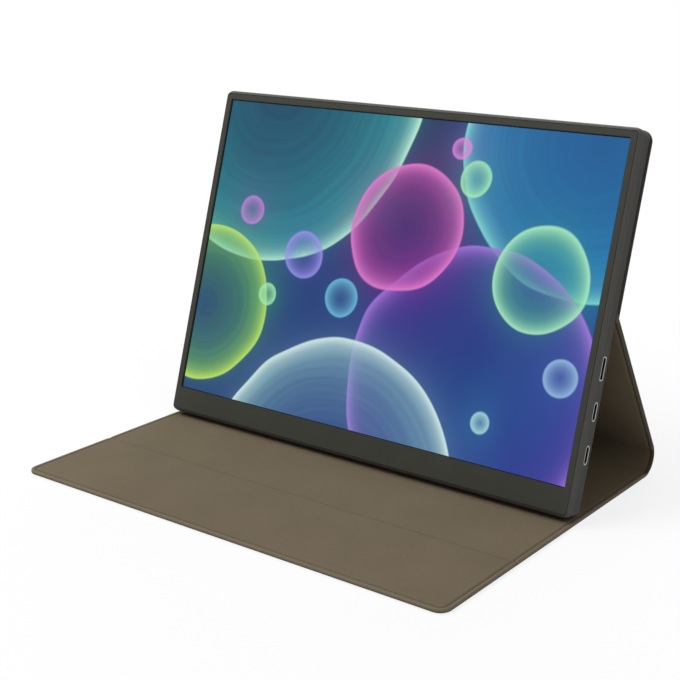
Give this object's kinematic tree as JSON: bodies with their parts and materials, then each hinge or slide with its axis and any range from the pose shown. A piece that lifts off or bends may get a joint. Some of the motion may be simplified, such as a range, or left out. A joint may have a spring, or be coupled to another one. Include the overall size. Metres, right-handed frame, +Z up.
{
  "type": "portable monitor with folding cover",
  "caption": "Thin portable monitor leaning on a folding leather-covered stand, with a flat front flap.",
  "frame": {"origin": "centre of the footprint, on the surface it stands on", "axes": "+X to the right seen from the front, +Y to the back, +Z up"},
  "size_m": [0.2656, 0.199, 0.1853],
  "materials": {
    "shell": "anodised, dark bronze grey, matt",
    "frame": "fine matt",
    "foam": "black foam",
    "screen": "matt anti-glare front",
    "film": "translucent white",
    "guide": "clear acrylic",
    "steel": "plain steel",
    "board": "green solder mask",
    "led": "white strip",
    "cable": "polyimide film",
    "socket": "nickel plated",
    "key": "fine matt",
    "speaker": "black",
    "magnet": "nickel plated",
    "leather": "dark bronze coated leather, fine grain",
    "core": "pressed fibre board",
    "lining": "taupe microfibre, short nap"
  },
  "bodies": {
    "base": {"base_skin": "leather", "base_core": "core", "base_lining": "lining", "spine": "leather", "front_fold": "leather"},
    "flap": {"flap_skin": "leather", "flap_core": "core", "flap_lining": "lining", "flap_magnets": "magnet"},
    "stand": {"stand_skin": "leather", "stand_core": "core", "stand_lining": "lining", "top_fold": "leather"},
    "screen": {"rear_shell": "shell", "front_frame": "frame", "frame_gasket": "foam", "glass_cell": "screen", "light_films": "film", "light_guide": "guide", "reflector": "film", "panel_tray": "steel", "light_bar": "led", "driver_board": "board", "panel_tape": "foam", "panel_cable": "cable", "main_board": "board", "board_shield": "steel", "video_socket": "socket", "usb_socket_upper": "socket", "usb_socket_lower": "socket", "side_board": "board", "side_cable": "cable", "jack_socket": "speaker", "speaker_left": "speaker", "speaker_right": "speaker", "board_screws": "steel", "holding_magnets": "magnet", "back_skin": "leather", "back_core": "core", "back_steel": "steel", "back_lining": "lining"},
    "power_key": {"power_button": "key"},
    "rocker_key": {"menu_rocker": "key"}
  },
  "joints": [
    {"name": "spine_fold", "type": "hinge", "parent": "base", "child": "stand", "pos_m": [0, 0.09619, 0.00635], "axis": [1, 0, 0], "range_deg": [-17.4, 8], "deforming": ["spine"]},
    {"name": "apex_fold", "type": "hinge", "parent": "stand", "child": "screen", "pos_m": [0, 0.04858, 0.09563], "axis": [1, 0, 0], "range_deg": [-22, 44.6], "deforming": ["top_fold"]},
    {"name": "flap_fold", "type": "hinge", "parent": "base", "child": "flap", "pos_m": [0, -0.04052, 0.001], "axis": [-1, 0, 0], "range_deg": [0, 95], "deforming": ["front_fold"]},
    {"name": "power_press", "type": "slide", "parent": "screen", "child": "power_key", "axis": [1, 0, 0], "range_m": [0, 0.00035], "stiffness_N_per_m": 3000},
    {"name": "rocker_tilt", "type": "hinge", "parent": "screen", "child": "rocker_key", "pos_m": [-0.1311, 0.03042, 0.05574], "axis": [0, 0.9542, -0.299], "range_deg": [-2, 2], "stiffness_Nm_per_rad": 0.3}
  ],
  "couplings": [
    {"joint": "apex_fold", "follows": "spine_fold", "ratio": -2.523}
  ]
}
